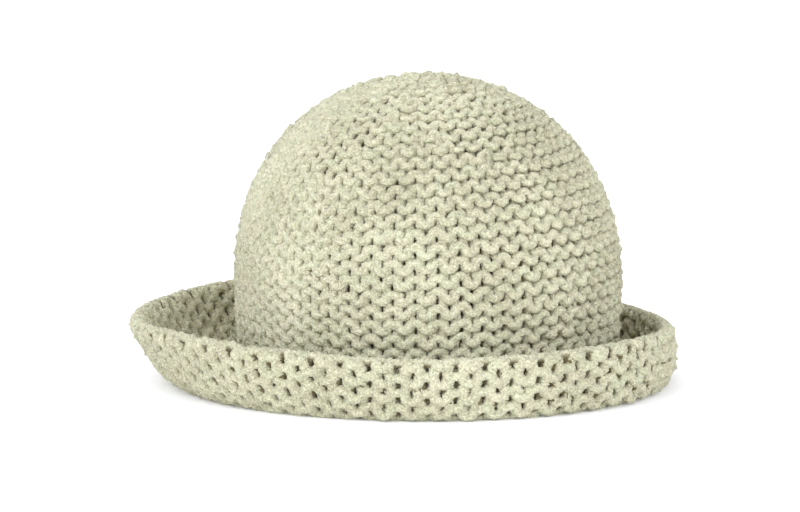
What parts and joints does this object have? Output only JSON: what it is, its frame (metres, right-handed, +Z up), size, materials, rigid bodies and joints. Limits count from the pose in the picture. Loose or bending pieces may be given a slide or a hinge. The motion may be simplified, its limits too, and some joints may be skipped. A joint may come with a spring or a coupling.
{
  "type": "knitted hat with a turned-up brim",
  "caption": "Thick knitted cotton hat for a small child: a domed crown in purl-faced stitches and a soft brim that turns up all round.",
  "frame": {"origin": "on the surface that the hat rests on, under the middle of its outline seen from above", "axes": "+Z up through the crown, +X across the hat towards the side where the brim stands closest to the crown, -Y towards the front of the picture"},
  "size_m": [0.2156, 0.1984, 0.1225],
  "materials": {
    "cotton_knit": "matt chunky cotton yarn in pale sage green, knitted with the purl side out"
  },
  "bodies": {
    "root": {"crown": "cotton_knit", "brim": "cotton_knit"}
  },
  "joints": []
}
